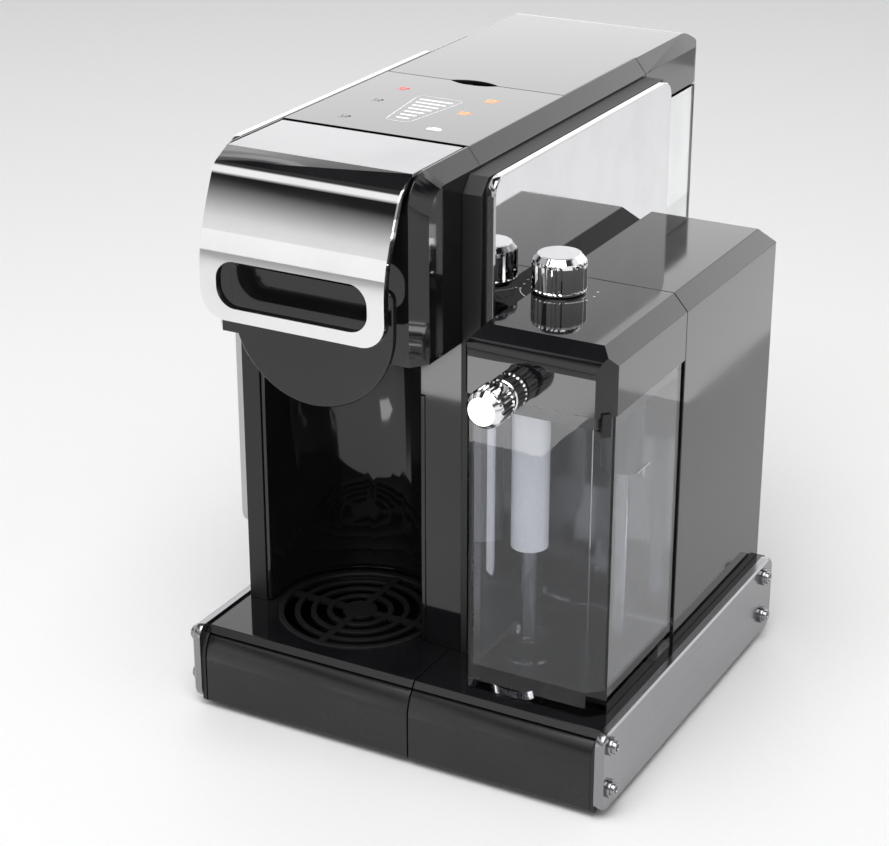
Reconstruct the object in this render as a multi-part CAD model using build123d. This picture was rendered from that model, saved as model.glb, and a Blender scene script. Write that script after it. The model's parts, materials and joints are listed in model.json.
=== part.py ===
"""Pod coffee machine with a side milk unit.

Millimetres. X to the right, Y to the back, Z up. The origin lies on the standing surface, in the
middle of the machine's width and depth. Each size below can be changed by itself, and places that
seat, line up or fit are worked out from them.
"""
import os

from build123d import *

# ---- overall sizes ----
base_width = 240.0         # base between its side plates
base_depth = 235.0         # base from front panel to rear
base_height = 44.5         # base from its underside to the deck
foot_height = 3.0          # rubber feet below the base
machine_height = 324.0     # standing surface to the top panel
rear_reach = 120.0         # water tank and its seat behind the base
lever_reach = 16.5         # lever nose in front of the base

# ---- base ----
side_plate = 5.0           # steel side plates
plate_corner = 7.0
plate_rise = 1.5           # the plates stand this much above the deck
deck = 3.8                 # deck plates
deck_gap = 1.0             # shadow gap between deck and front panels
front_panel = 9.5          # depth of the front panels
wall = 2.5                 # moulded walls
seam_shift = 55.1          # seam of coffee side and milk side, right of the body's centre
seam = 0.6
tray_length = 125.0
tray_height = 30.0
front_screw = 7.1          # side plate screws behind the base front
rear_screw = 15.0          # and in front of the base rear
screw_drop = 6.2           # upper screws below the deck
screw_rise = 13.4          # lower screws above the base underside
screw_r = 1.9
screw_head = 5.0
grid_gap = 2.6             # around the grid inside the cup niche
grid_t = 2.8
grid_back = 63.4           # grid centre behind the base front
grid_slot = 6.0            # width of the ring slots
grid_bar = 3.0             # ring bars between them

# ---- body ----
overhang = 3.5             # mirror panel beyond the base's left edge
core_half = 62.0           # half width of head and core
wing = 11.0                # side wings
gasket = 1.6               # black spacer behind each mirror panel
mirror = 4.4               # mirror side panels
wing_front = 47.0          # wing front behind the base front
bevel_x = 6.8              # bevel of head, core and lid, across
bevel_n = 8.6              # and into the profile
wing_drop = 10.0           # wing top below the top panel
tank_front = 271.0         # rear of the core behind the base front
core_wall = 3.0
head_back = 66.0           # joint between head and core
panel_end = 177.5          # joint between control panel and tank lid
glass = 2.5                # control panel
roof = 7.5                 # core roof under the control panel
notch_half = 15.0          # finger notch in that joint
notch_depth = 5.0
head_front = 4.5           # head face behind the base front
head_bottom = 223.5        # head underside above the base underside
head_round = 17.0          # top front edge of the head
niche_half = 48.5          # half width of the cup niche
bin_wall = 2.2
bin_back = 185.0           # rear of the capsule bin behind the base front
bin_drop = 33.6            # bin rim below the head
bin_rise = 1.2             # bin floor above the deck, clear of the grid

# ---- lever ----
lever_half = 53.3
hinge_back = 64.0          # hinge axis behind the base front
hinge_drop = 3.2           # hinge axis below the top panel
pin_r = 1.1
pin_grip = 1.9             # how far the pin enters each cheek
sheet = 1.8                # chrome and silver sheet
backing = 2.8              # black frame behind the sheet
nose_high, nose_low = 36.5, 58.0     # where the front bends, below the top panel
band_back, band_drop = 12.5, 5.5     # black band: rear edge, and height
slot_half, slot_low, slot_high, slot_r = 43.8, 75.5, 50.5, 10.5
lever_length = 82.5        # lower edge below the top panel
lever_corner = 14.0

# ---- brewing unit ----
pod_back = 32.0            # capsule face behind the base front
pod_drop = 39.0            # capsule axis below the top panel
cage_r, cage_bore, cage_length = 24.0, 19.0, 40.0
cage_travel = 32.0
spout_back = 50.0          # outlets behind the base front
spout_end = 8.0            # spout body behind its outlets
spout_half = 10.0
pod_hole = 3.0             # coffee passage

# ---- spout cover ----
disc_r, disc_t = 47.4, 2.2
disc_rise = 16.8           # circle centre above the head's underside
disc_top = 38.9            # top edge above the head's underside

# ---- water tank ----
lid_skirt = 30.0
tank_floor = 110.0         # tank seat above the base underside
tank_wall = 2.6
tank_corner = 12.0
lid_round = 17.0
lid_hinge = 3.5            # hinge axis from the lid's lower rear edge
lid_pin_r = 1.2
valve_back = 312.0

# ---- milk unit ----
milk_gap = 1.1             # between mirror panel and milk unit
milk_inset = 4.5           # milk unit inside the base's right edge
milk_front = 15.6
milk_joint = 107.8         # joint between milk jug and housing
milk_rear = 234.0
milk_height = 202.4        # above the deck
lid_depth = 35.3
milk_bevel = 8.3
jug_wall = 2.4
jug_floor = 13.0
knob_r, knob_height = 14.4, 20.0
froth_r, froth_reach = 10.2, 31.5
collar_r = 9.4
tube_r = 4.0

# ---- fits ----
slide_gap = 0.4            # flat sliding faces
run_gap = 0.05             # radial clearance of turning parts
air = 0.3                  # between neighbouring covers

# ---- places worked out from the sizes ----
depth = lever_reach + base_depth + rear_reach
front = lever_reach - depth / 2          # y of the base front
base_rear = front + base_depth
rear = base_rear + rear_reach
half = base_width / 2
base_z = foot_height
deck_z = base_z + base_height
under_deck = deck_z - deck
top_z = machine_height
head_z = base_z + head_bottom
body_x = core_half + wing + gasket + mirror - overhang - half    # centre of the body
seam_x = body_x + seam_shift
core_l, core_r = body_x - core_half, body_x + core_half
wing_y, wing_top = front + wing_front, top_z - wing_drop
tank_y = front + tank_front
head_y = front + head_back
bin_l = core_l + 2 * slide_gap
niche_l = bin_l + bin_wall
niche_x, niche_r = niche_l + niche_half, niche_l + 2 * niche_half
bin_r = niche_r + bin_wall
grid_r = niche_half - grid_gap
bin_y = front + bin_back
bin_top = head_z - bin_drop
shelf_z = head_z - 3.5                   # underside of the shelf over the bin
grid_y = front + grid_back
glass_z = top_z - glass                  # core roof, outside
roof_z = glass_z - roof                  # core roof, inside
panel_y = front + panel_end
top_half = core_half - bevel_x           # half width of the flat top
hinge_y, hinge_z = front + hinge_back, top_z - hinge_drop
cheek_half = lever_half + 1.0
pod_y, pod_z = front + pod_back, top_z - pod_drop
coffee_y = pod_y - 10                    # coffee passage in the piercing block
lid_z = top_z - lid_skirt
lid_hinge_y, lid_hinge_z = rear - lid_hinge, lid_z + lid_hinge
tank_top = lid_hinge_z - lid_hinge * 2 ** 0.5 - air
seat_z = base_z + tank_floor
valve_y = front + valve_back
milk_l = core_r + wing + gasket + mirror + milk_gap
milk_r = half - milk_inset
milk_y, joint_y = front + milk_front, front + milk_joint
milk_top = deck_z + milk_height
milk_lid_z = milk_top - lid_depth

shapes = {}


# ---- shape helpers ----
def block(x0, x1, y0, y1, z0, z1):
    """A box between two corners."""
    return Pos((x0 + x1) / 2, (y0 + y1) / 2, (z0 + z1) / 2) * Box(x1 - x0, y1 - y0, z1 - z0)


def rod(start, axis, radius, length):
    """A cylinder that starts at a point and runs along one axis, or back along it."""
    turn = {"X": Rot(0, 90, 0), "Y": Rot(-90, 0, 0), "Z": Rot(0, 0, 0)}[axis]
    shift = Pos(0, 0, min(length, 0))
    solid = Cylinder(radius, abs(length), align=(Align.CENTER, Align.CENTER, Align.MIN))
    return Pos(*start) * turn * shift * solid


def tube(start, axis, outer, inner, length):
    return rod(start, axis, outer, length) - rod(start, axis, inner, length)


def across(outline, x0, x1):
    """Extrude a closed outline, given in (y, z), from x0 to x1."""
    face = outline if isinstance(outline, Sketch) else make_face(outline)
    return Pos(x0, 0, 0) * extrude(Plane.YZ * face, x1 - x0)


def along(outline, y0, y1):
    """Extrude a closed outline, given in (x, z), from y0 to y1."""
    face = outline if isinstance(outline, Sketch) else make_face(outline)
    return Pos(0, y1, 0) * extrude(Plane.XZ * face, y1 - y0)


def polygon(*points):
    return Polyline(*points, close=True)


def round_box(x0, x1, y0, y1, radius):
    """A rounded rectangle, drawn between two corners."""
    return Pos((x0 + x1) / 2, (y0 + y1) / 2) * RectangleRounded(x1 - x0, y1 - y0, radius)


def uprights(shape):
    return shape.edges().filter_by(Axis.Z)


# ---- base ----
def front_profile(x0, x1, z1, y1):
    """A front panel: an upright face that curves back to its top edge."""
    shoulder = z1 - 13.5
    return across([
        Line((front + 1.5, base_z), (y1, base_z)),
        Line((y1, base_z), (y1, z1)),
        Line((y1, z1), (front + 5.2, z1)),
        ThreePointArc((front + 5.2, z1), (front + 1.5, z1 - 6.0), (front, shoulder)),
        Line((front, shoulder), (front, base_z + 1.5)),
        Line((front, base_z + 1.5), (front + 1.5, base_z)),
    ], x0, x1)


def screw_places():
    """Side plate screws: front and rear, high and low."""
    for y in (front + front_screw, base_rear - rear_screw):
        for z in (deck_z - screw_drop, base_z + screw_rise):
            yield y, z


def base_chassis():
    """Moulded tub: a bay for the drip tray, a pocket behind it and one on the milk side."""
    y0 = front + front_panel
    bay_end = y0 + tray_length + wall
    tub = block(-half, half, y0, base_rear, base_z, under_deck)
    floor = base_z + wall
    tub -= block(-half + wall, seam_x - wall, y0, bay_end, floor, under_deck)
    tub -= block(-half + wall, seam_x - wall, bay_end + wall, base_rear - wall, floor, under_deck)
    tub -= block(seam_x + wall, half - wall, y0 + wall, base_rear - wall, floor, under_deck)
    for x in (-half, half - wall):
        tub += front_profile(x, x + wall, under_deck, y0)
    for side in (-half, half - wall):
        for y, z in screw_places():
            tub -= rod((side, y, z), "X", screw_r, wall)
    return tub


def front_cover(x0, x1, y1):
    """A front panel with a pocket moulded into its back."""
    z1 = under_deck - deck_gap
    cover = front_profile(x0, x1, z1, y1)
    return cover - block(x0 + wall, x1 - wall, front + 5.5, y1, base_z + wall, z1 - wall)


def tray():
    """Drip tray that slides out with its own front."""
    x0, x1 = -half + wall + slide_gap, seam_x - seam / 2
    y0 = front + front_panel - air
    cover = front_cover(x0, x1, y0)
    middle = (x0 + x1) / 2
    for x in (middle - 30, middle + 30):
        cover += block(x, x + wall, front + 4, y0, base_z + wall, base_z + tray_height)
    shapes["tray_front"] = cover
    z0 = base_z + wall + slide_gap
    inner = seam_x - wall - slide_gap
    pan = block(x0, inner, y0, y0 + tray_length, z0, z0 + tray_height)
    pan -= block(x0 + wall, inner - wall, y0 + wall, y0 + tray_length - wall,
                 z0 + wall, z0 + tray_height)
    shapes["drip_tray"] = pan


def deck_plate(x0, x1):
    """A deck plate with a bevelled front edge."""
    return across(polygon((front + 5.7, under_deck), (base_rear, under_deck),
                          (base_rear, deck_z), (front + 8.4, deck_z)), x0, x1)


def drip_grid(seat):
    """Round grid of ring slots, with four bridges across each slot."""
    grid = rod((niche_x, grid_y, seat), "Z", grid_r, grid_t)
    grid -= rod((niche_x, grid_y, seat + grid_t - 0.6), "Z", grid_r - grid_bar, 0.6)
    outer = grid_r - grid_bar - 0.2
    bridge = block(niche_x - grid_r, niche_x + grid_r, grid_y - 2.2, grid_y + 2.2,
                   seat, seat + grid_t)
    bridge += Pos(niche_x, grid_y, 0) * Rot(0, 0, 90) * Pos(-niche_x, -grid_y, 0) * bridge
    while outer > 2 * grid_slot:
        slot = tube((niche_x, grid_y, seat), "Z", outer, outer - grid_slot, grid_t)
        grid -= slot - bridge
        outer -= grid_slot + grid_bar
    return grid


def side_plates():
    """Steel plates on both sides of the base, with their screws."""
    y0, y1 = front - 1, base_rear
    z0, z1 = base_z + 1, deck_z + plate_rise
    screws = []
    for side, name in ((-1, "side_plate_left"), (1, "side_plate_right")):
        inner, outer = side * half, side * (half + side_plate)
        outline = round_box(y0, y1, z0, z1, plate_corner)
        plate = across(outline, min(inner, outer), max(inner, outer))
        rim = plate.faces().sort_by(Axis.X)[-1 if side > 0 else 0].edges()
        plate = chamfer(rim, 1.0)
        for y, z in screw_places():
            plate -= rod((inner, y, z), "X", screw_r, side * side_plate)
            screw = rod((outer - side * (side_plate + wall), y, z), "X", screw_r,
                        side * (side_plate + wall))
            screw += rod((outer, y, z), "X", screw_head, side * 2.2)
            screw += rod((outer + side * 2.2, y, z), "X", screw_head * 0.72, side * 1.8)
            screw -= rod((outer + side * 4.0, y, z), "X", screw_head * 0.4, side * -2.4)
            screws.append(screw)
        shapes[name] = plate
    shapes["side_plate_screws"] = Compound(screws)


def rubber_feet():
    """Four feet under the base and two under the tank seat."""
    spots = [(x, y) for x in (-half + 16, half - 16) for y in (front + 22, base_rear - 16)]
    spots += [(x, rear - 22) for x in (core_l + 18, core_r - 18)]
    return Compound([rod((x, y, 0), "Z", 9.0, foot_height) for x, y in spots])


def base():
    seat = deck_z - 2.0
    shapes["base_chassis"] = base_chassis()
    shapes["front_panel_right"] = front_cover(seam_x + seam / 2, half - wall,
                                              front + front_panel)
    tray()
    left = deck_plate(-half, seam_x - seam / 2)
    left -= rod((niche_x, grid_y, under_deck), "Z", grid_r - grid_bar, deck)
    left -= rod((niche_x, grid_y, seat), "Z", grid_r + slide_gap, deck)
    shapes["coffee_deck"] = left
    shapes["milk_deck"] = deck_plate(seam_x + seam / 2, half)
    shapes["drip_grid"] = drip_grid(seat)
    shapes["rubber_feet"] = rubber_feet()
    side_plates()


# ---- core, bin and rear ----
def niche(z0, z1, grow=0.0):
    """The cup niche: straight sides that end in a half cylinder about the grid."""
    reach = niche_half + grow
    space = rod((niche_x, grid_y, z0), "Z", reach, z1 - z0)
    return space + block(niche_x - reach, niche_x + reach, wing_y - 1, grid_y, z0, z1)


def top_outline(inset=0.0, low=0.0):
    """Cross-section of core and lid: upright sides with bevelled shoulders."""
    wide, flat, z1 = core_half - inset, top_half - inset * 0.6, top_z - inset
    shoulder = top_z - bevel_n - inset * 0.4
    return polygon((body_x - wide, low), (body_x + wide, low), (body_x + wide, shoulder),
                   (body_x + flat, z1), (body_x - flat, z1), (body_x - wide, shoulder))


def notch(z0):
    """Lens-shaped finger notch in the joint of control panel and lid."""
    radius = (notch_half ** 2 + notch_depth ** 2) / (2 * notch_depth)
    shift = radius - notch_depth
    reach = top_z + 1 - z0
    return (rod((body_x, panel_y - shift, z0), "Z", radius, reach)
            & rod((body_x, panel_y + shift, z0), "Z", radius, reach))


def body_core():
    """Moulded core: bin bay and cup niche below, room for the works above and behind."""
    lower = block(core_l, core_r, wing_y, tank_y, deck_z, head_z)
    bay_r, bay_y, bay_z = bin_r + slide_gap, bin_y + slide_gap, bin_top + slide_gap
    lower -= block(core_l - 1, bay_r, wing_y - 1, bay_y, deck_z - 1, bay_z)
    lower -= niche(bay_z - 1, shelf_z)
    drop = block(niche_l, niche_r, grid_y, bin_y - bin_wall, bay_z - 1, shelf_z)
    lower -= drop - niche(bay_z - 2, shelf_z + 1, bin_wall)
    lower -= block(body_x - 25, body_x + 25, front + 118, front + 155, shelf_z - 1, head_z + 1)
    lower -= block(niche_x - spout_half - air, niche_x + spout_half + air, wing_y - 1,
                   front + spout_back + spout_end + air, shelf_z - 1, head_z + 1)
    lower -= block(core_l + core_wall, core_r - core_wall, bay_y + core_wall,
                   tank_y - core_wall, deck_z + core_wall, head_z + 1)
    upper = block(core_l, core_r, head_y + air, tank_y, head_z, roof_z)
    upper -= block(core_l + core_wall, core_r - core_wall, head_y + 5, tank_y - core_wall,
                   head_z + core_wall, roof_z)
    upper -= block(core_l + core_wall, core_r - core_wall, bay_y + core_wall,
                   tank_y - core_wall, head_z - 1, head_z + core_wall + 1)
    upper -= block(body_x - 30, body_x + 30, head_y, head_y + 6, head_z + core_wall, roof_z)
    upper -= block(body_x - 25, body_x + 25, front + 118, front + 155, head_z - 1,
                   head_z + core_wall + 1)
    return lower + upper


def core_top():
    """Flat roof of the core between two rails with bevelled shoulders."""
    rim = top_half - 0.4
    plate = block(body_x - rim, body_x + rim, head_y + air, tank_y, roof_z, glass_z)
    plate -= block(body_x - cheek_half, body_x + cheek_half, head_y, head_y + 2, roof_z, top_z)
    shapes["core_roof"] = plate - notch(roof_z + 2.5)
    bar = along(top_outline(low=roof_z), head_y + air, tank_y)
    shapes["top_rails"] = bar - block(body_x - rim, body_x + rim, head_y, tank_y, roof_z, top_z)


def capsule_bin():
    """Used-capsule bin: its hollow front wall closes the back of the cup niche."""
    z0 = deck_z + bin_rise
    outer = block(bin_l, bin_r, wing_y + air, bin_y, z0, bin_top) - niche(z0 - 1, bin_top + 1)
    room = block(niche_l, niche_r, grid_y, bin_y - bin_wall, z0 + bin_wall, bin_top + 1)
    return outer - (room - niche(z0, bin_top + 2, bin_wall))


def wings():
    """Side shells, gaskets and mirror panels on both sides of the core."""
    outline = polygon((wing_y, deck_z), (tank_y - 0.5, deck_z), (tank_y - 0.5, wing_top),
                      (wing_y + 7.5, wing_top), (wing_y, wing_top - 8))
    y0, y1 = wing_y + 3, tank_y - 1
    z0, z1 = deck_z + 42.5, wing_top + 0.5
    gaskets = []
    for side, name in ((-1, "left"), (1, "right")):
        def span(near, far):
            ends = body_x + side * near, body_x + side * far
            return min(ends), max(ends)
        shell = across(outline, *span(core_half, core_half + wing))
        shell -= block(*span(core_half, core_half + wing - 3), wing_y + 14, tank_y - 8,
                       head_z + 8, wing_top - 6)
        shapes[f"wing_{name}"] = shell
        far = core_half + wing + gasket
        pad = round_box(y0 + 1.2, y1 - 1.2, z0 + 1.2, wing_top - 1, 8)
        gaskets.append(across(pad, *span(core_half + wing, far)))
        panel = across(round_box(y0, y1, z0, z1, 9), *span(far, far + mirror))
        rim = panel.faces().sort_by(Axis.X)[-1 if side > 0 else 0].edges()
        shapes[f"side_panel_{name}"] = chamfer(rim, 0.8)
    shapes["panel_gaskets"] = Compound(gaskets)


def rear_base():
    """Seat of the water tank behind the base, open towards the base."""
    low = block(core_l, core_r, base_rear, rear, base_z, deck_z)
    tall = block(core_l, core_r, tank_y + 2 * air, rear, base_z, seat_z)
    seat = low + tall
    corners = uprights(seat).group_by(Axis.Y)[-1]
    seat = fillet(corners, tank_corner)
    seat -= block(core_l + core_wall, core_r - core_wall, base_rear - 1, rear - core_wall,
                  base_z + core_wall, deck_z - core_wall)
    seat -= block(core_l + 6, core_r - 6, tank_y + core_wall + 1, rear - 6,
                  deck_z - core_wall - 1, seat_z - 5)
    seat -= rod((body_x, valve_y, seat_z - 6), "Z", 12.0, 7)
    seat -= rod((body_x, tank_y, seat_z - 29), "Y", 4.0 + run_gap, 8)
    return seat - inlet_body()


def inlet_body():
    x = core_r - 30
    return block(x - 13.5, x + 13.5, rear - 16, rear, base_z + 14, base_z + 34)


def power_inlet():
    """Appliance inlet, flush with the rear, with its three blades."""
    x, z = core_r - 30, base_z + 24
    inlet = inlet_body() - block(x - 11.5, x + 11.5, rear - 13, rear, z - 7.5, z + 7.5)
    for dx, dz in ((-6, -1.5), (0, 2.5), (6, -1.5)):
        inlet += block(x + dx - 1, x + dx + 1, rear - 13.5, rear - 2, z + dz - 2, z + dz + 2)
    return inlet


def body():
    core = body_core()
    for start, axis, length in works_passages():
        core -= rod(start, axis, 4.0 + run_gap, length)
    shapes["body_core"] = core
    core_top()
    shapes["capsule_bin"] = capsule_bin()
    wings()
    shapes["rear_base"] = rear_base()
    shapes["power_inlet"] = power_inlet()


# ---- head, lever and brewing unit ----
def head_section(x, step):
    """The head's side outline, set back from the front and the top by one step."""
    y0, y1, z1 = front + head_front + step, head_y, top_z - step
    outline = make_face([
        Line((y0, head_z), (y1, head_z)),
        Line((y1, head_z), (y1, z1)),
        Line((y1, z1), (y0 + head_round, z1)),
        RadiusArc((y0 + head_round, z1), (y0, z1 - head_round), -head_round),
        Line((y0, z1 - head_round), (y0, head_z)),
    ])
    return Pos(x, 0, 0) * (Plane.YZ * outline)


def head_housing():
    """Head shell with bevelled edges, lowered in the middle to take the lever."""
    shell = extrude(head_section(body_x - top_half, 0), 2 * top_half)
    for side in (-1, 1):
        ends = [head_section(body_x + side * top_half, 0),
                head_section(body_x + side * core_half, bevel_n)]
        shell += loft(ends, ruled=True)
    well = top_z - 6.5
    shell -= across(polygon((front - 5, well - 14.5), (front + head_front, well - 14.5),
                            (front + 14, well), (head_y + 1, well), (head_y + 1, top_z + 1),
                            (front - 5, top_z + 1)), body_x - cheek_half, body_x + cheek_half)
    inside = core_half - 10
    shell -= block(body_x - inside, body_x + inside, front + 16, head_y + 1,
                   head_z + core_wall, well - core_wall)
    shell -= block(body_x - inside, body_x + inside, front + head_front + core_wall, head_y,
                   head_z + core_wall, well - 18)
    shell -= block(body_x - 20, body_x + 20, pod_y - 1, head_y - 3, well - 5, well + 1)
    shell -= rod((body_x - cheek_half - pin_grip - 0.2, hinge_y, hinge_z), "X",
                 pin_r + run_gap, 2 * (cheek_half + pin_grip + 0.2))
    return shell - rod((niche_x, coffee_y, head_z - 1), "Z", 2 * pod_hole, 6)


def lever_region(inset):
    """Side outline of the lever's outer skin, moved inwards by a distance."""
    nose = front - lever_reach
    points = [(front + band_back, top_z), (front + 1.5, top_z - band_drop),
              (nose + 13.9, top_z - band_drop - 5.5), (nose + 3.6, top_z - nose_high),
              (nose, top_z - nose_low), (nose + 1.2, top_z - 120),
              (hinge_y + 40, top_z - 120), (hinge_y + 40, top_z)]
    bulge = {1: -0.35, 2: -0.36, 3: -0.9}
    edges = []
    for i, (start, end) in enumerate(zip(points, points[1:] + points[:1])):
        if i in bulge:
            edges.append(SagittaArc(start, end, bulge[i]))
        else:
            edges.append(Line(start, end))
    region = make_face(edges)
    return offset(region, -inset, kind=Kind.INTERSECTION) if inset else region


def lever():
    """Lever: silver top and chrome front on a black frame, hinged at its rear edge."""
    x0, x1 = body_x - lever_half, body_x + lever_half
    end_y, low = hinge_y + 1, top_z - lever_length
    skins = [across(lever_region(depth_in), x0, x1) for depth_in in (0, sheet, sheet + backing)]
    limit = along(round_box(x0, x1, low, top_z + 40, lever_corner), front - 60, end_y)
    edge = across(polygon((end_y - 1, top_z), (end_y + 1, top_z), (end_y + 1, top_z - 2)), x0, x1)
    slot = along(round_box(body_x - slot_half, body_x + slot_half, top_z - slot_low,
                           top_z - slot_high, slot_r), front - 60, front + 3)
    cut = edge + slot
    outer = (skins[0] - skins[1]) & limit
    frame = (skins[1] - skins[2]) & limit
    split_y, split_z = front + band_back, top_z - band_drop
    rear_part = block(x0, x1, split_y, end_y, top_z - 20, top_z)
    front_part = block(x0, x1, front - 60, front + 30, low - 1, split_z)
    shapes["lever_top_plate"] = (outer & rear_part) - cut
    shapes["lever_front"] = (outer & front_part) - cut
    band = outer - rear_part - front_part
    barrel = rod((x0, hinge_y, hinge_z), "X", pin_r + 1.1, 2 * lever_half)
    barrel &= block(x0, x1, hinge_y - 5, hinge_y + 5, hinge_z - 5, top_z - sheet)
    hole = rod((x0, hinge_y, hinge_z), "X", pin_r, 2 * lever_half)
    shapes["lever_backing"] = (frame + band) - cut + barrel - hole
    pin_half = lever_half + 1.0 + pin_grip
    shapes["lever_pin"] = rod((body_x - pin_half, hinge_y, hinge_z), "X", pin_r, 2 * pin_half)


def brew_frame():
    """Fixed frame: piercing block in front, two rails for the cage and a rear plate."""
    wide = cage_r + 4
    tall = 25.0
    frame = block(body_x - wide, body_x + wide, pod_y - 15, pod_y - 1,
                  head_z + core_wall, pod_z + tall)
    end = pod_y + cage_length + cage_travel + 1
    for side in (-1, 1):
        x0, x1 = sorted((body_x + side * (cage_r + 0.5), body_x + side * wide))
        frame += block(x0, x1, pod_y - 1, end + 3, pod_z - 18, pod_z + 18)
    frame += block(body_x - wide, body_x + wide, end, end + 3, pod_z - 18, pod_z + 18)
    frame -= rod((niche_x, coffee_y, head_z), "Z", pod_hole, 40)
    return frame


def capsule_cage():
    """Sliding cage that holds the capsule."""
    cage = rod((body_x, pod_y, pod_z), "Y", cage_r, cage_length)
    cage -= rod((body_x, pod_y, pod_z), "Y", cage_bore, cage_length - 12)
    return cage


def spout():
    """Coffee spout with two outlets, behind its round cover."""
    y0, y1 = front + 14, front + spout_back + spout_end
    body = block(niche_x - spout_half, niche_x + spout_half, y0, y1, head_z - 14, head_z)
    body -= block(niche_x - 6, niche_x + 6, y0 + 4, y1 - 3, head_z - 11, head_z - 3)
    body -= rod((niche_x, coffee_y, head_z - 4), "Z", pod_hole, 5)
    for dx in (-5, 5):
        start = (niche_x + dx, front + spout_back, head_z - 22)
        body += rod(start, "Z", 3.6, 9)
        body -= rod(start, "Z", 2.0, 12)
    shapes["coffee_spout"] = body
    z0 = head_z + disc_rise
    y0, y1 = front + head_front - disc_t, front + head_front
    cover = rod((body_x, y0, z0), "Y", disc_r, disc_t)
    cover += block(body_x - disc_r, body_x + disc_r, y0, y1, z0, head_z + disc_top)
    cover -= block(body_x - disc_r, body_x + disc_r, y0, y1, head_z + disc_top, z0 + disc_r)
    tips = cover.edges().filter_by(Axis.Y).group_by(Axis.Z)[-1]
    cover = fillet(tips, 5.0)
    shapes["spout_cover"] = chamfer(cover.faces().sort_by(Axis.Y)[0].edges(), 0.6)


def capsule_chute():
    """Sloping channel that leads a used capsule back to the bin."""
    y0, y1 = pod_y + 1, front + 119
    z0, z1 = head_z + 28, head_z + core_wall + 0.2
    floor = polygon((y0, z0), (y1, z1), (y1, z1 + 2), (y0, z0 + 2))
    sides = polygon((y0, z0), (y1, z1), (y1, z1 + 7), (y0, z0 + 7))
    chute = across(floor, body_x - 24, body_x + 24)
    for x in (body_x - 24, body_x + 22):
        chute += across(sides, x, x + 2)
    foot = block(body_x - 24, body_x + 24, y0, y0 + 3, head_z + core_wall, z0 + 1)
    return chute + foot


def head():
    shapes["head_housing"] = head_housing()
    lever()
    shapes["brew_frame"] = brew_frame()
    shapes["capsule_cage"] = capsule_cage()
    shapes["capsule_chute"] = capsule_chute()
    spout()


def control_panel():
    """Glass touch panel with a slanted front edge, and the board under the roof."""
    reach = top_half - 0.4
    y0, y1 = hinge_y + hinge_drop + slide_gap, panel_y - air     # clear of the raised lever
    pane = across(polygon((y0 + 1.3, glass_z), (y1, glass_z), (y1, top_z), (y0, top_z)),
                  body_x - reach, body_x + reach)
    shapes["control_panel"] = pane - notch(glass_z - 1)
    board = block(body_x - 42, body_x + 42, head_y + 46, panel_y - 14, roof_z - 4, roof_z - 2.4)
    for x in (body_x - 36, body_x + 36):
        for y in (head_y + 52, panel_y - 20):
            board += rod((x, y, roof_z - 2.4), "Z", 3.0, 2.4)
    shapes["control_board"] = board


# ---- water and steam ----
pump_y = tank_y - 43
pump_z = deck_z + 52
boiler_z = head_z + 13.5
boiler_y = tank_y - 13
valve_x = body_x + 30
hose_z = seat_z - 29
steam_y = tank_y - 56
steam_z = milk_top - milk_bevel - core_wall - 7


def works_passages():
    """Straight holes that hoses need in the core: start, axis and length."""
    yield (body_x, tank_y - 8, hose_z), "Y", 9
    yield (core_r - 8, steam_y, steam_z), "X", 9


def works():
    """Pump, meter, thermoblock, valve and their hoses."""
    pump_top = pump_z + 80
    shapes["pump"] = rod((body_x, pump_y, pump_z), "Z", 17, 80)
    mounts = []
    for z in (pump_z + 10, pump_z + 58):
        ring = block(body_x - 22, body_x + 22, pump_y - 21, tank_y - core_wall, z, z + 10)
        mounts.append(ring - rod((body_x, pump_y, z), "Z", 17, 10))
    shapes["pump_mounts"] = Compound(mounts)
    meter_z = hose_z - 12
    meter = rod((body_x, pump_y, meter_z), "Z", 14, 24)
    shapes["flow_meter"] = meter + rod((body_x, pump_y, meter_z + 24), "Z", 4,
                                       pump_z - meter_z - 24)
    y0, y1 = boiler_y - 60, boiler_y
    boiler = block(body_x - 30, body_x + 30, y0, y1, boiler_z, boiler_z + 50)
    boiler = fillet(boiler.edges().filter_by(Axis.Y), 6)
    for dy in (12, 30, 48):
        boiler -= block(body_x - 31, body_x + 31, y0 + dy - 2, y0 + dy + 2,
                        boiler_z + 44, boiler_z + 51)
    boiler += block(body_x - 8, body_x + 8, y1, tank_y - core_wall, boiler_z + 18, boiler_z + 32)
    shapes["thermoblock"] = boiler
    frame_end = pod_y + cage_length + cage_travel + 4
    shapes["pressure_pipes"] = Compound([
        tube((body_x, pump_y, pump_top), "Z", 3, 1.5, boiler_z - pump_top),
        tube((body_x, frame_end, pod_z - 4), "Y", 3, 1.5, y0 - frame_end),
    ])
    valve = block(valve_x, valve_x + 20, steam_y - 10, steam_y + 10, steam_z - 8, boiler_z + 20)
    shapes["steam_valve"] = valve
    hose = Polyline((body_x, valve_y, seat_z - 9), (body_x, valve_y, hose_z),
                    (body_x, pump_y + 14, hose_z))
    hose = fillet(hose.vertices().sort_by_distance((body_x, valve_y, hose_z))[0], 14)
    shapes["water_hose"] = hose_along(hose, Plane((body_x, valve_y, seat_z - 9)), 4.0, 2.4)
    shapes["tank_coupling"] = tube((body_x, valve_y, seat_z - 9), "Z", 10, 4.5, 9 - slide_gap)


def hose_along(path, plane, outer, inner):
    """A hollow hose swept along a path of straight runs and arcs."""
    profile = plane * (Circle(outer) - Circle(inner))
    return sweep(profile, path=path)


# ---- water tank ----
def tank_block(inset, z0, z1):
    """The tank's rounded plan, moved inwards by a distance."""
    body = block(core_l + inset, core_r - inset, tank_y + 2 * air + inset, rear - inset, z0, z1)
    corners = uprights(body).group_by(Axis.Y)[-1]
    return fillet(corners, tank_corner - inset)


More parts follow.
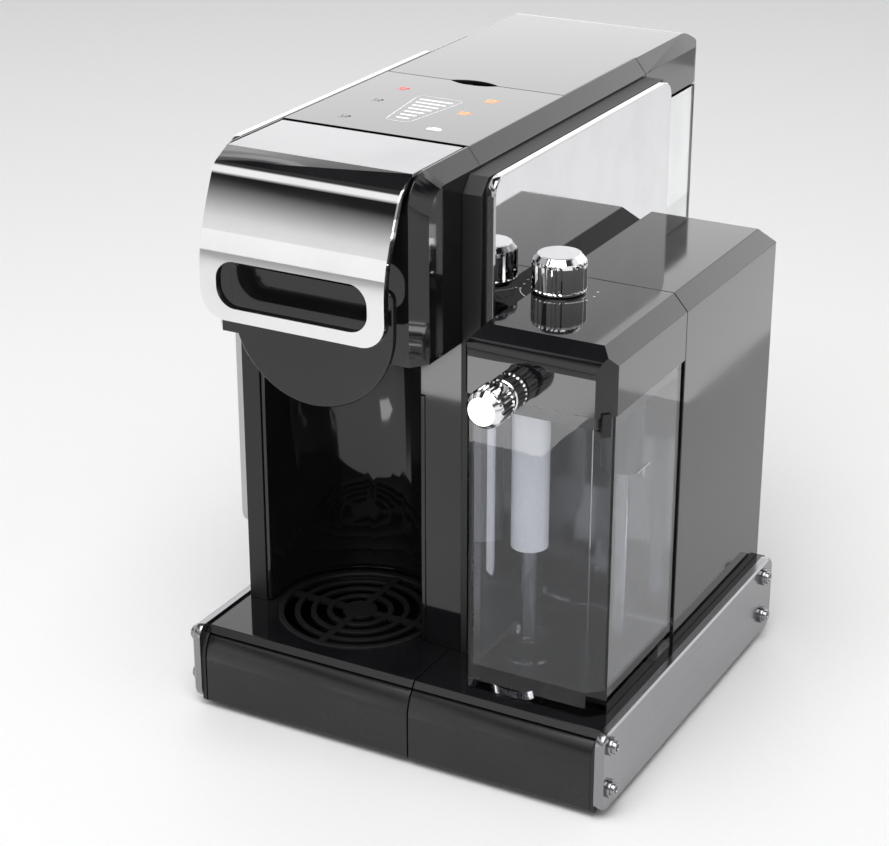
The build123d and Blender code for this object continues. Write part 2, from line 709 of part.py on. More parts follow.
def water_tank():
    """Clear tank with a drain boss and two hinge lugs for its lid."""
    z0 = seat_z + air
    tank = tank_block(0, z0, tank_top) - tank_block(tank_wall, z0 + 4, tank_top + 1)
    tank -= rod((body_x, valve_y, z0), "Z", 5.0, 4)
    for side in (-1, 1):
        x0, x1 = sorted((body_x + side * 27.4, body_x + side * 33))
        lug = block(x0, x1, lid_hinge_y - 2.2, rear - tank_wall + 0.1, tank_top - 14, lid_hinge_z)
        lug += rod((x0, lid_hinge_y, lid_hinge_z), "X", 2.2, x1 - x0)
        tank += lug
    pin = rod((body_x - 34, lid_hinge_y, lid_hinge_z), "X", lid_pin_r, 68)
    shapes["water_tank"] = tank - pin
    shapes["lid_hinge_pin"] = pin


def lid_side(y0, inset):
    """Side outline of the tank lid with its round rear edge, moved inwards by a distance."""
    y1, z1 = rear - inset, top_z - inset
    bend_y, bend_z = rear - lid_round, top_z - lid_round
    return across(make_face([
        Line((y0 - 1, lid_z - 2), (y1, lid_z - 2)),
        Line((y1, lid_z - 2), (y1, bend_z)),
        RadiusArc((y1, bend_z), (bend_y, z1), inset - lid_round),
        Line((bend_y, z1), (y0 - 1, z1)),
        Line((y0 - 1, z1), (y0 - 1, lid_z - 2)),
    ]), core_l - 1, core_r + 1)


def tank_lid():
    """Lid: a flat front plate on the core and a deep cap over the tank."""
    y0 = tank_y + air
    plan = tank_block(0, lid_z - 3, top_z + 1)
    plan += block(core_l, core_r, y0, y0 + 20, lid_z - 3, top_z + 1)
    cap = along(top_outline(low=lid_z), y0, rear) & lid_side(y0, 0) & plan
    room = along(top_outline(tank_wall, lid_z - 1), y0 + tank_wall, rear - tank_wall)
    cap -= room & lid_side(y0, tank_wall) & tank_block(tank_wall, lid_z - 3, top_z + 1)
    reach = top_half - 0.8
    plate_z = glass_z + slide_gap
    cap += block(body_x - reach, body_x + reach, panel_y + air, y0 + tank_wall, plate_z, top_z)
    cap -= notch(plate_z - 1)
    for side in (-1, 1):
        x0, x1 = sorted((body_x + side * 27.0, body_x + side * 33.4))
        cap -= block(x0, x1, lid_hinge_y - 4, rear + 1, lid_z - 1, lid_hinge_z + 4)
        x0, x1 = sorted((body_x + side * 20, body_x + side * 26.6))
        cap += block(x0, x1, lid_hinge_y - 2.4, rear - 1, lid_z + 1, lid_hinge_z + 2.4)
    shapes["tank_lid"] = cap - rod((body_x - 35, lid_hinge_y, lid_hinge_z), "X",
                                   lid_pin_r + run_gap, 70)


def tank_valve():
    """Spring-loaded plug in the tank's outlet."""
    z0 = seat_z + air
    plug = rod((body_x, valve_y, z0 + 4.1), "Z", 7.0, 2.4)
    plug += rod((body_x, valve_y, z0 + 0.6), "Z", 2.6, 4)
    plug += rod((body_x, valve_y, z0 + 6.5), "Z", 1.6, 8)
    shapes["tank_valve"] = plug
    cage = tube((body_x, valve_y, z0 + 4), "Z", 10.5, 9.0, 17)
    cage += tube((body_x, valve_y, z0 + 17), "Z", 10.5, 1.9, 4)
    for angle in (45, 135):
        cut = Pos(body_x, valve_y, z0 + 10) * Rot(0, 0, angle) * Box(30, 6, 10)
        cage -= cut
    shapes["valve_cage"] = cage
    shapes["valve_spring"] = tube((body_x, valve_y, z0 + 6.6), "Z", 5.0, 3.2, 10.3)


def tank():
    water_tank()
    tank_lid()
    tank_valve()


# ---- milk unit ----
def faceted(x0, x1, y0, y1, z0, z1, inset=0.0):
    """A box whose front right edge is cut to a facet, with its walls moved in by an inset."""
    x0, x1, y0, y1 = x0 + inset, x1 - inset, y0 + inset, y1 - inset
    c = milk_bevel - inset * (2 - 2 ** 0.5)
    outline = make_face(polygon((x0 + 2, y0), (x1 - c, y0), (x1, y0 + c), (x1, y1), (x0, y1),
                                (x0, y0 + 2)))
    return Pos(0, 0, z0) * extrude(outline, z1 - z0)


def jug_shape(z0, z1, inset=0.0):
    """The jug's plan between two heights, with its walls moved in by an inset."""
    return faceted(milk_l + 0.6, milk_r - 1.2, milk_y + 0.9, joint_y - 0.8, z0, z1, inset)


def milk_jug():
    """Clear milk jug with a thick floor and a round sump."""
    z0, z1 = deck_z + air, milk_lid_z - air
    jug = jug_shape(z0, z1) - jug_shape(z0 + jug_floor, z1 + 1, jug_wall)
    x, y, radius, low = next(milk_sleeves())
    return jug - rod((x, y, z0 + jug_floor - 5), "Z", radius + 3, 6)


def milk_lid():
    """Lid block with bevelled edges, collar, clip, sleeves and dip tubes."""
    y1 = joint_y - air
    x0, x1, b = milk_l, milk_r, milk_bevel
    cap = faceted(x0, x1, milk_y, y1, milk_lid_z, milk_top)
    cap &= along(polygon((x0, milk_lid_z), (x1, milk_lid_z), (x1, milk_top - b - 0.8),
                         (x1 - b + 0.4, milk_top), (x0 + b - 0.4, milk_top),
                         (x0, milk_top - b - 0.8)), milk_y, y1)
    brow, round_end = (milk_y + 2.7, milk_top - 6.5), (milk_y, milk_top - 15.5)
    cap &= across([
        Line((milk_y, milk_lid_z), (y1, milk_lid_z)),
        Line((y1, milk_lid_z), (y1, milk_top)),
        Line((y1, milk_top), (milk_y + 8.4, milk_top)),
        Line((milk_y + 8.4, milk_top), brow),
        RadiusArc(brow, round_end, -16.4),
        Line(round_end, (milk_y, milk_lid_z)),
    ], x0, x1)
    cap -= block(x0 + 12, x1 - 12, milk_y + 16, y1 - 12, milk_lid_z, milk_lid_z + 3)
    knob_x, knob_y = milk_l + 18.8, front + 83.5
    froth_x, froth_z = milk_l + 26.2, milk_lid_z + 6.2
    cap -= rod((knob_x, knob_y, milk_top - 14), "Z", 4 + run_gap, 14)
    cap -= rod((froth_x, milk_y, froth_z), "Y", 3 + run_gap, 12)
    ring = jug_shape(milk_lid_z - 7.5, milk_lid_z, jug_wall + slide_gap)
    ring -= block(x0 + 12, x1 - 12, milk_y + 16, y1 - 12, milk_lid_z - 8, milk_lid_z)
    sleeves, tubes = [], []
    for x, y, r, low in milk_sleeves():
        sleeves.append(tube((x, y, low), "Z", r, tube_r, milk_lid_z + 3 - low))
        cap -= rod((x, y, low), "Z", r, milk_lid_z + 3 - low)
        ring -= rod((x, y, low), "Z", r, milk_lid_z + 3 - low)
        end = deck_z + air + jug_floor - 3 if r < 10.2 else deck_z + air + jug_floor + 4
        tubes.append(tube((x, y, end), "Z", tube_r, tube_r - 1, milk_lid_z + 3 - end))
    shapes["milk_lid"] = cap
    shapes["lid_collar"] = ring
    shapes["tube_sleeve_white"], shapes["tube_sleeve_dark"] = sleeves
    shapes["dip_tubes"] = Compound(tubes)
    clip = Pos(x1 - b / 2, milk_y + b / 2, milk_lid_z - 4) * Rot(0, 0, 45)
    clip = clip * Box(4.5, 1.6, 12, align=(Align.CENTER, Align.MAX, Align.CENTER))
    shapes["lid_clip"] = clip
    knob = rod((knob_x, knob_y, milk_top + air), "Z", knob_r, knob_height - air)
    knob = chamfer(knob.edges().group_by(Axis.Z)[-1], 2.6)
    shapes["function_knob"] = knob + rod((knob_x, knob_y, milk_top - 13.5), "Z", 4, 14)
    start = milk_y - froth_reach
    froth = rod((froth_x, start, froth_z), "Y", froth_r, 17)
    froth = chamfer(froth.edges().group_by(Axis.Y)[0], 1.0)
    froth += rod((froth_x, start + 17, froth_z), "Y", 3, froth_reach - 5.5)
    shapes["froth_knob"] = froth
    shapes["froth_collar"] = tube((froth_x, start + 20, froth_z), "Y", collar_r, 3,
                                  froth_reach - 20 - air)


def milk_sleeves():
    """Dip tube sleeves: x, y, radius and lower end."""
    yield milk_l + 16.4, front + 60, 10.0, deck_z + 67.5
    yield milk_r - 22.5, front + 80, 10.5, deck_z + 113.5


def milk_housing():
    """Closed housing behind the jug, and the steam hose that ends in its front wall."""
    x0, x1, b = milk_l, milk_r, milk_bevel
    y0, y1 = joint_y + air, front + milk_rear
    hull = block(x0, x1, y0, y1, deck_z, milk_top)
    hull &= along(polygon((x0, deck_z), (x1, deck_z), (x1, milk_top - b - 0.8),
                          (x1 - b + 0.4, milk_top), (x0 + b - 0.4, milk_top),
                          (x0, milk_top - b - 0.8)), y0, y1)
    hull &= across(polygon((y0, deck_z), (y1, deck_z), (y1, milk_top - b), (y1 - b, milk_top),
                           (y0, milk_top)), x0, x1)
    hull -= block(x0 + core_wall, x1 - core_wall, y0 + core_wall, y1 - core_wall, deck_z,
                  milk_top - b - core_wall)
    hull -= rod((x0, steam_y, steam_z), "X", 4 + run_gap, core_wall + 1)
    connector_x = (milk_l + milk_r) / 2
    hull -= rod((connector_x, y0, steam_z), "Y", 5, core_wall)
    shapes["milk_housing"] = hull
    plug = rod((connector_x, y0, steam_z), "Y", 5, core_wall)
    plug += rod((connector_x, y0 + core_wall, steam_z), "Y", 6.4, 5)
    plug -= rod((connector_x, y0, steam_z), "Y", 2.4, 8)
    start = (valve_x + 20, steam_y, steam_z)
    corner = (connector_x, steam_y, steam_z)
    end = (connector_x, y0 + core_wall + 5, steam_z)
    path = fillet(Polyline(start, corner, end).vertices().sort_by_distance(corner)[0], 25)
    shapes["steam_hose"] = hose_along(path, Plane(start, z_dir=(1, 0, 0)), 4.0, 2.4) + plug


def steam_passages():
    """Clear the steam hose through the right wing, gasket and mirror panel."""
    for name in ("wing_right", "panel_gaskets", "side_panel_right"):
        shapes[name] -= rod((core_r - 1, steam_y, steam_z), "X", 4 + run_gap,
                            wing + gasket + mirror + 2)


def milk_unit():
    shapes["milk_jug"] = milk_jug()
    milk_lid()
    milk_housing()
    steam_passages()


base()
body()
head()
control_panel()
works()
tank()
milk_unit()
os.makedirs("parts", exist_ok=True)
for name, shape in shapes.items():
    export_step(shape, f"parts/{name}.step")
print(len(shapes), "parts")
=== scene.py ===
# %% [markdown]
# # A pod coffee machine with a milk unit
# The solids of this machine come ready from its design files, in metres, with the origin on the
# worktop. This lesson gives them their finishes, builds the pieces that need finer mesh work
# (knurled knobs and printed icons), and sets a plain studio around them.

# %% Load the frame
import json
from math import atan2, cos, degrees, pi, radians, sin

import bmesh
import bpy
from mathutils import Matrix, Vector


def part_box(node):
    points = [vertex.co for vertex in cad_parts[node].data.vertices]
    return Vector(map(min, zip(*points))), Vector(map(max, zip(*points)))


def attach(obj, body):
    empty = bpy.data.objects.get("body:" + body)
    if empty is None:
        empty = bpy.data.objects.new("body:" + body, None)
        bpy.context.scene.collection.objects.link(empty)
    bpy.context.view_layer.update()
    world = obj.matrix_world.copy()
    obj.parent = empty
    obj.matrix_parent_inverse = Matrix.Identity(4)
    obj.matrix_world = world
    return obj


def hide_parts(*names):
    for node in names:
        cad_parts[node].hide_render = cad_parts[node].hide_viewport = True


MM = 0.001
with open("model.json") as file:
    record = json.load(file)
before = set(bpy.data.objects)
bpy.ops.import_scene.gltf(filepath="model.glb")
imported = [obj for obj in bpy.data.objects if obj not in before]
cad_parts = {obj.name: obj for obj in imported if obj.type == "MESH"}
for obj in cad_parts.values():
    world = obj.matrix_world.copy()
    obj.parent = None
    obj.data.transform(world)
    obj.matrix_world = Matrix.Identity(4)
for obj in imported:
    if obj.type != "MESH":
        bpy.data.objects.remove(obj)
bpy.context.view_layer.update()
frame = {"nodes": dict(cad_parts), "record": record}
nodes = frame["nodes"]

# %% [markdown]
# A shader is a sum, so it reads best as one. The small class below holds one output of a node and
# turns `*` and `+` into Math nodes. Every other node comes from `add`, which takes the node's
# type, its settings and then the values or links of its sockets.

# %% Shader sums
class Shade:
    def __init__(self, tree, socket=None):
        self.tree, self.socket = tree, socket

    def add(self, kind, settings=None, values=None, out=0):
        """A new node; returns one of its outputs."""
        node = self.tree.nodes.new("ShaderNode" + kind)
        for name, value in (settings or {}).items():
            if name == "stops":
                ramp = node.color_ramp.elements
                while len(ramp) < len(value):
                    ramp.new(0.5)
                for element, (place, level) in zip(ramp, value):
                    element.position, element.color = place, (level, level, level, 1)
            else:
                setattr(node, name, value)
        for name, value in (values or {}).items():
            if isinstance(value, Shade):
                self.tree.links.new(value.socket, node.inputs[name])
            else:
                node.inputs[name].default_value = value
        return Shade(self.tree, node.outputs[out])

    def sum(self, operation, first, second):
        return self.add("Math", {"operation": operation}, {0: first, 1: second})

    def __mul__(self, other):
        return self.sum("MULTIPLY", self, other)

    def __add__(self, other):
        return self.sum("ADD", self, other)

    __rmul__, __radd__ = __mul__, __add__


print("shader sums ready")

# %% [markdown]
# Real mouldings are never perfectly even. One noise on Object coordinates covers what the eye
# reads on this machine: coarse and cut off it is the `smudge` of handling, fine it is the grain of
# the mould, and stretched along one direction it is the streaks that polishing leaves.

# %% Surface patterns
def place(shade):
    return shade.add("TexCoord", out=3)


def noise(shade, scale, detail=3.0, roughness=0.5, stretch=(1, 1, 1)):
    mapped = shade.add("Mapping", None, {"Vector": place(shade), "Scale": stretch})
    return shade.add("TexNoise", None, {"Vector": mapped, "Scale": scale, "Detail": detail,
                                        "Roughness": roughness})


def smudge(shade, scale=14.0):
    """0 on clean areas, up to 1 where the surface was handled."""
    cloud = noise(shade, scale, 5.0, 0.6)
    return shade.add("ValToRGB", {"stops": ((0.42, 0.0), (0.75, 1.0))}, {"Fac": cloud})


def tint(shade, low, high, factor):
    """A colour between two others."""
    mix = shade.add("Mix", {"data_type": "RGBA"}, {"Factor": factor}, out=2)
    node = mix.socket.node
    node.inputs[6].default_value, node.inputs[7].default_value = (*low, 1), (*high, 1)
    return mix


def bump(shade, height, strength, distance):
    return shade.add("Bump", None, {"Height": height, "Strength": strength,
                                    "Distance": distance})


def new_finish(name, **constants):
    """An empty material with its main shader, whose even values are set on the sockets."""
    material = bpy.data.materials.new(name)
    material.use_nodes = True
    shader = material.node_tree.nodes["Principled BSDF"]
    for socket, value in constants.items():
        shader.inputs[socket.replace("_", " ")].default_value = value
    return material, shader, Shade(material.node_tree)


def wire(shader, **links):
    for socket, value in links.items():
        shader.id_data.links.new(value.socket, shader.inputs[socket.replace("_", " ")])


print("patterns ready")

# %% [markdown]
# Most of the casing is piano black: a dark pigment under a clear, very smooth skin. Its colour
# hardly shows, so the finish lives in its roughness and in a faint waviness that bends
# reflections. The base front is the same plastic with a satin skin, and hidden mouldings are matt.

# %% Black plastics
def piano_black():
    material, shader, s = new_finish("piano_black", Coat_Weight=0.15, Coat_Roughness=0.03)
    handled = smudge(s)
    waves = noise(s, 9.0, 1.0)
    wire(shader, Base_Color=tint(s, (0.006, 0.006, 0.007), (0.012, 0.012, 0.013), handled),
         Roughness=0.05 + 0.07 * handled, Normal=bump(s, waves, 0.04, 0.002))
    return material


def satin_black():
    material, shader, s = new_finish("satin_black", Specular_IOR_Level=0.4, Coat_Weight=0.1,
                                     Coat_Roughness=0.2)
    fine = noise(s, 2600.0, 2.0)
    handled = smudge(s, 22.0)
    wire(shader, Base_Color=tint(s, (0.008, 0.008, 0.009), (0.012, 0.012, 0.013), handled),
         Roughness=0.24 + 0.1 * handled, Normal=bump(s, fine, 0.05, 0.0002))
    return material


def moulded_black():
    material, shader, s = new_finish("moulded_black")
    grain = noise(s, 1700.0, 3.0, 0.6)
    wire(shader, Base_Color=tint(s, (0.004, 0.004, 0.005), (0.008, 0.008, 0.009), grain),
         Roughness=0.42 + 0.16 * grain, Normal=bump(s, grain, 0.25, 0.0003))
    return material


def panel_glass():
    material, shader, s = new_finish("panel_glass", Coat_Weight=0.2, Coat_Roughness=0.015)
    handled = smudge(s, 30.0)
    wire(shader, Base_Color=tint(s, (0.008, 0.008, 0.009), (0.014, 0.014, 0.016), handled),
         Roughness=0.03 + 0.06 * handled)
    return material


print("black plastics ready")

# %% [markdown]
# Bright plating is a mirror, so almost all of its look is what stands around it. A little uneven
# roughness keeps it from looking like a computer mirror. The steel plates keep a trace of their
# polishing lines, which run along the machine.

# %% Metals
def plated(name, colour, low, spread, waviness):
    material, shader, s = new_finish(name, Metallic=1.0)
    handled = smudge(s, 26.0)
    waves = noise(s, 12.0, 1.0)
    deep = tuple(0.93 * c for c in colour)
    wire(shader, Base_Color=tint(s, colour, deep, handled),
         Roughness=low + spread * handled, Normal=bump(s, waves, waviness, 0.002))
    return material


def chrome():
    return plated("chrome", (0.86, 0.86, 0.87), 0.03, 0.05, 0.03)


def mirror_steel():
    return plated("mirror_steel", (0.46, 0.46, 0.47), 0.035, 0.05, 0.05)


def silver_paint():
    material, shader, s = new_finish("silver_paint", Metallic=0.55, Coat_Weight=0.1)
    flakes = noise(s, 5200.0, 1.0)
    wire(shader, Base_Color=tint(s, (0.32, 0.32, 0.33), (0.38, 0.38, 0.39), flakes),
         Roughness=0.32 + 0.1 * smudge(s), Normal=bump(s, flakes, 0.03, 0.0001))
    return material


def polished_plate():
    material, shader, s = new_finish("polished_plate", Metallic=1.0)
    streaks = noise(s, 900.0, 3.0, 0.6, (1, 0.02, 1))
    wire(shader, Base_Color=tint(s, (0.24, 0.24, 0.25), (0.34, 0.34, 0.35), streaks),
         Roughness=0.16 + 0.1 * streaks, Normal=bump(s, streaks, 0.06, 0.0002))
    return material


def rough_metal(name, colour):
    material, shader, s = new_finish(name, Metallic=1.0)
    grain = noise(s, 700.0, 4.0, 0.6)
    dark = tuple(0.75 * c for c in colour)
    wire(shader, Base_Color=tint(s, dark, colour, grain), Roughness=0.32 + 0.2 * grain,
         Normal=bump(s, grain, 0.2, 0.0004))
    return material


print("metals ready")

# %% [markdown]
# The two tanks are clear plastic. Light passes through them, so the shader is a transmitting one
# with the refraction of plastic. The milk jug carries a faint cool tint. Their moulded skin is
# not optically flat, and a low, broad bump gives it the slight ripple that clear mouldings have.

# %% Clear plastics, rubber and small finishes
def clear_plastic(name, colour):
    material, shader, s = new_finish(name, Transmission_Weight=1.0, IOR=1.45)
    ripple = noise(s, 55.0, 2.0)
    handled = smudge(s, 30.0)
    deep = tuple(0.94 * c for c in colour)
    wire(shader, Base_Color=tint(s, colour, deep, handled), Roughness=0.004 + 0.02 * handled,
         Normal=bump(s, ripple, 0.02, 0.001))
    return material


def soft_plastic(name, colour, low, grain_size, depth):
    material, shader, s = new_finish(name)
    grain = noise(s, grain_size, 3.0, 0.6)
    light = tuple(min(1.0, 1.25 * c) for c in colour)
    wire(shader, Base_Color=tint(s, colour, light, grain), Roughness=low + 0.15 * grain,
         Normal=bump(s, grain, depth, 0.0003))
    return material


def lamp_or_painted_glow(name, colour, strength):
    """A mark that shines a little by itself: behind the glass this is a lamp, on plain print it is
    a painted glow.
    """
    material, shader, s = new_finish(name, Emission_Strength=strength)
    uneven = noise(s, 900.0, 2.0)
    dim = tuple(0.8 * c for c in colour)
    ink = tint(s, dim, colour, uneven)
    # The mark's own colour also feeds the emission: a lamp for the lit icons, a painted glow on
    # print.
    wire(shader, Base_Color=ink, Emission_Color=ink, Roughness=0.4 + 0.1 * uneven)
    return material


FINISH = {
    "gloss_black": piano_black(),
    "black_plastic": moulded_black(),
    "satin_black": satin_black(),
    "glass_black": panel_glass(),
    "chrome": chrome(),
    "mirror_steel": mirror_steel(),
    "steel": polished_plate(),
    "silver": silver_paint(),
    "tank_clear": clear_plastic("tank_clear", (0.97, 0.975, 0.98)),
    "jug_clear": clear_plastic("jug_clear", (0.945, 0.96, 1.0)),
    "rubber": soft_plastic("rubber", (0.014, 0.014, 0.014), 0.5, 900.0, 0.2),
    "white_plastic": soft_plastic("white_plastic", (0.80, 0.82, 0.86), 0.25, 800.0, 0.05),
    "silicone": soft_plastic("silicone", (0.55, 0.56, 0.55), 0.35, 400.0, 0.1),
    "board": soft_plastic("board", (0.01, 0.09, 0.03), 0.4, 300.0, 0.2),
    "aluminium": rough_metal("aluminium", (0.62, 0.62, 0.63)),
    "brass": rough_metal("brass", (0.62, 0.45, 0.18)),
}
print(len(FINISH), "finishes")

# %% [markdown]
# Each solid names a finish slot in its record, so one loop paints the machine. A moulded or
# machined edge is never knife sharp: it catches a thin line of light. The solids arrive as loose
# triangles, so a Weld comes first, then a small Bevel on the sharp edges only. The chrome lever
# is left out, because on its curved sheet the two would disturb the shading.

# %% Paint the solids and break their edges
# Width of the broken edge in millimetres, for each finish.
EDGE = {"gloss_black": 0.5, "satin_black": 0.6, "chrome": 0.35, "mirror_steel": 0.4,
        "steel": 0.35, "silver": 0.3, "glass_black": 0.25, "black_plastic": 0.3,
        "jug_clear": 1.3, "tank_clear": 0.6}


def paint(obj, slot):
    obj.data.materials.clear()
    obj.data.materials.append(FINISH[slot])


def break_edges(obj, width):
    weld = obj.modifiers.new("weld", "WELD")
    weld.merge_threshold = 0.00001
    bevel = obj.modifiers.new("bevel", "BEVEL")
    bevel.width = width * MM
    bevel.segments = 2
    bevel.limit_method = "ANGLE"
    bevel.angle_limit = radians(38)
    bevel.use_clamp_overlap = True
    bevel.harden_normals = True


for part in frame["record"]["subparts"]:
    solid = nodes[part["node"]]
    paint(solid, part["material_slot"])
    if part["material_slot"] in EDGE and part["node"] != "lever_front":
        break_edges(solid, EDGE[part["material_slot"]])

# %% [markdown]
# New pieces are built in place with bmesh operators. `finish_piece` turns a bmesh into an object
# that sits at the origin, takes its finish and rides on a body of the machine.

# %% Turn a bmesh into a piece
def finish_piece(name, bm, slot, body, smooth=False, material=None):
    bmesh.ops.recalc_face_normals(bm, faces=bm.faces)
    mesh = bpy.data.meshes.new(name)
    bm.to_mesh(mesh)
    bm.free()
    for face in mesh.polygons:
        face.use_smooth = smooth
    piece = bpy.data.objects.new(name, mesh)
    bpy.context.scene.collection.objects.link(piece)
    paint(piece, slot)
    if material:
        piece.data.materials[0] = material
    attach(piece, body)
    return piece


print("piece helper ready")

# %% [markdown]
# Both milk dials are turned and knurled: deep flutes run along the grip, between a bevelled face
# and a plain foot. A ring of edges is drawn out step by step, and at each step every third vertex
# is pulled in to make the flute. The face is closed with a shallow dish.

# %% A knurled knob
def knurled(rings, teeth):
    """A fluted knob about +Z. rings are (radius, height, flute depth), from foot to face."""
    bm = bmesh.new()
    count = 3 * teeth
    radius, height, _ = rings[0]
    bmesh.ops.create_circle(bm, segments=count, radius=radius * MM)
    bmesh.ops.translate(bm, verts=bm.verts, vec=(0, 0, height * MM))
    loop = list(bm.edges)
    bmesh.ops.contextual_create(bm, geom=list(bm.edges))
    for radius, height, depth in rings[1:]:
        drawn = bmesh.ops.extrude_edge_only(bm, edges=loop)["geom"]
        loop = [g for g in drawn if isinstance(g, bmesh.types.BMEdge)]
        for vert in (g for g in drawn if isinstance(g, bmesh.types.BMVert)):
            turn = Vector((vert.co.x, vert.co.y, 0)).normalized()
            tooth = round(Vector((1, 0)).angle_signed(turn.xy, 0) / (2 * pi) * count) % 3
            reach = (radius - (depth if tooth == 0 else 0)) * MM
            vert.co = Vector((turn.x * reach, turn.y * reach, height * MM))
    face = bmesh.ops.contextual_create(bm, geom=loop)["faces"]
    bmesh.ops.inset_region(bm, faces=face, thickness=0.5 * MM, depth=0)
    bmesh.ops.inset_region(bm, faces=face, thickness=0.4 * MM, depth=-0.15 * MM)
    return bm


def knob_rings(radius, height, flute):
    """Foot, fluted grip and bevelled face of a knob."""
    return [(radius - 0.8, 0, 0), (radius, 0.8, 0), (radius, 1.6, 0), (radius, 2.2, flute),
            (radius, height - 4.6, flute), (radius - 0.2, height - 3.4, flute * 0.6),
            (radius - 0.7, height - 2.6, 0), (radius - 2.7, height - 0.3, 0),
            (radius - 3.0, height, 0)]


print("knurling ready")

# %% [markdown]
# The function dial stands on the milk lid. Its place and radius come from the solid it replaces,
# and a hair of air under it keeps it from rubbing on the lid.

# %% Function dial
KNOB_AIR = 0.3
low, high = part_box("function_knob")
milk_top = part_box("milk_lid")[1][2]
dial_x, dial_y = (low[0] + high[0]) / 2, (low[1] + high[1]) / 2
dial_r = (high[0] - low[0]) / 2 / MM
bm = knurled(knob_rings(dial_r, (high[2] - milk_top) / MM - KNOB_AIR, 0.75), 30)
bmesh.ops.translate(bm, verts=bm.verts, vec=(dial_x, dial_y, milk_top + KNOB_AIR * MM))
dial = finish_piece("function_dial_grip", bm, "chrome", "function_dial")
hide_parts("function_knob")
print("function dial", round(dial_r, 1), "mm")

# %% [markdown]
# The froth dial lies on its side and points forwards. Each of its three pieces is made upright
# around +Z, tipped onto its side and carried to its place: a fluted grip, a fluted collar behind
# it, and the thin spindle that joins them.

# %% Froth dial
def tip_forwards(bm, place):
    """Lay an upright piece down so that its top faces the front, and carry it to its place."""
    bmesh.ops.rotate(bm, verts=bm.verts, cent=(0, 0, 0),
                     matrix=Matrix.Rotation(radians(90), 3, "X"))
    bmesh.ops.translate(bm, verts=bm.verts, vec=place)


GRIP = 17.0
low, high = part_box("froth_knob")
froth_x, froth_z = (low[0] + high[0]) / 2, (low[2] + high[2]) / 2
froth_r = (high[0] - low[0]) / 2 / MM
bm = knurled(knob_rings(froth_r, GRIP, 0.7), 26)
tip_forwards(bm, (froth_x, low[1] + GRIP * MM, froth_z))
froth = finish_piece("froth_dial_grip", bm, "chrome", "froth_dial")
print("froth dial", round(froth_r, 1), "mm")

# %% Collar behind the froth dial
CUFF, FLUTE = 0.6, 0.7
collar_low, collar_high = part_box("froth_collar")
length = (collar_high[1] - collar_low[1]) / MM
collar_r = (collar_high[0] - collar_low[0]) / 2 / MM
rings = [(collar_r - CUFF, 0, 0), (collar_r, CUFF, 0), (collar_r, 1.0, FLUTE),
         (collar_r, length - 1.0, FLUTE), (collar_r, length - CUFF, 0),
         (collar_r - CUFF, length, 0)]
bm = knurled(rings, 24)
tip_forwards(bm, (froth_x, collar_high[1], froth_z))
collar = finish_piece("froth_collar_grip", bm, "chrome", "froth_dial")
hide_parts("froth_collar")
print("collar", round(length, 1), "mm long")

# %% Spindle of the froth dial
SPINDLE_R, SPINDLE_START = 3 * MM, 16 * MM
bm = bmesh.new()
bmesh.ops.create_cone(bm, cap_ends=True, segments=40, radius1=SPINDLE_R, radius2=SPINDLE_R,
                      depth=high[1] - low[1] - SPINDLE_START - 2 * MM)
tip_forwards(bm, (froth_x, (low[1] + high[1] + SPINDLE_START) / 2, froth_z))
finish_piece("froth_spindle", bm, "steel", "froth_dial")
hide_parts("froth_knob")
print("spindle done")

# %% [markdown]
# The touch panel shows seven bars in a frame, cups on both sides and a foam cloud. Ink under
# glass can't be felt, so each mark is a thin plate that stands a hair above the glass. A mark is
# a flat outline, filled and then raised by the thickness of the ink.

# %% Marks on flat faces
INK, LIFT = 0.05 * MM, 0.02 * MM
WHITE = lamp_or_painted_glow("icon_white", (0.85, 0.86, 0.88), 0.3)
FAINT = lamp_or_painted_glow("icon_faint", (0.30, 0.30, 0.32), 0.1)
AMBER = lamp_or_painted_glow("icon_amber", (1.0, 0.42, 0.10), 0.8)
RED = lamp_or_painted_glow("icon_red", (0.9, 0.10, 0.07), 0.5)


def outline(bm, points, height):
    """A filled outline, given in metres, raised by the ink's thickness."""
    face = bm.faces.new([bm.verts.new((x, y, height)) for x, y in points])
    raised = bmesh.ops.extrude_face_region(bm, geom=[face])["geom"]
    tops = [g for g in raised if isinstance(g, bmesh.types.BMVert)]
    bmesh.ops.translate(bm, verts=tops, vec=(0, 0, INK))


def arc(cx, cy, radius, start, end, steps=8):
    """Points on a circular arc; angles in degrees."""
    turns = [radians(start + (end - start) * i / steps) for i in range(steps + 1)]
    return [(cx + radius * cos(t), cy + radius * sin(t)) for t in turns]


def bar(bm, start, end, width, height):
    """A round-ended bar from one point to another."""
    along = Vector(end) - Vector(start)
    turn = degrees(atan2(along.y, along.x))
    outline(bm, arc(*end, width / 2, turn - 90, turn + 90)
            + arc(*start, width / 2, turn + 90, turn + 270), height)


def stroke(bm, points, width, height):
    """A thin line of even width through some points."""
    for start, end in zip(points, points[1:]):
        bar(bm, start, end, width, height)


low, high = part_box("control_panel")
panel_top = high[2] + LIFT
panel_x, panel_front = (low[0] + high[0]) / 2, low[1]
print("panel", [round((b - a) / MM, 1) for a, b in zip(low, high)], "mm")


def at(x, y):
    """A point on the panel, in millimetres from the middle of its front edge."""
    return panel_x + x * MM, panel_front + y * MM


print("panel ready for its marks")

# %% [markdown]
# The level bars grow longer from front to back, so the frame around them is a tapered outline
# with four rounded corners. Each corner is an arc, and one thin stroke runs through all of them.

# %% Level bars and their frame
BARS, BAR_STEP, BAR_GROWTH = 7, 6.1, 1.05
bm = bmesh.new()
for i in range(BARS):
    y, reach = 29.5 + BAR_STEP * i, 2.8 + BAR_GROWTH * i
    bar(bm, at(-reach, y), at(reach, y), 2.3 * MM, panel_top)
finish_piece("level_bars", bm, "glass_black", "machine", material=WHITE)

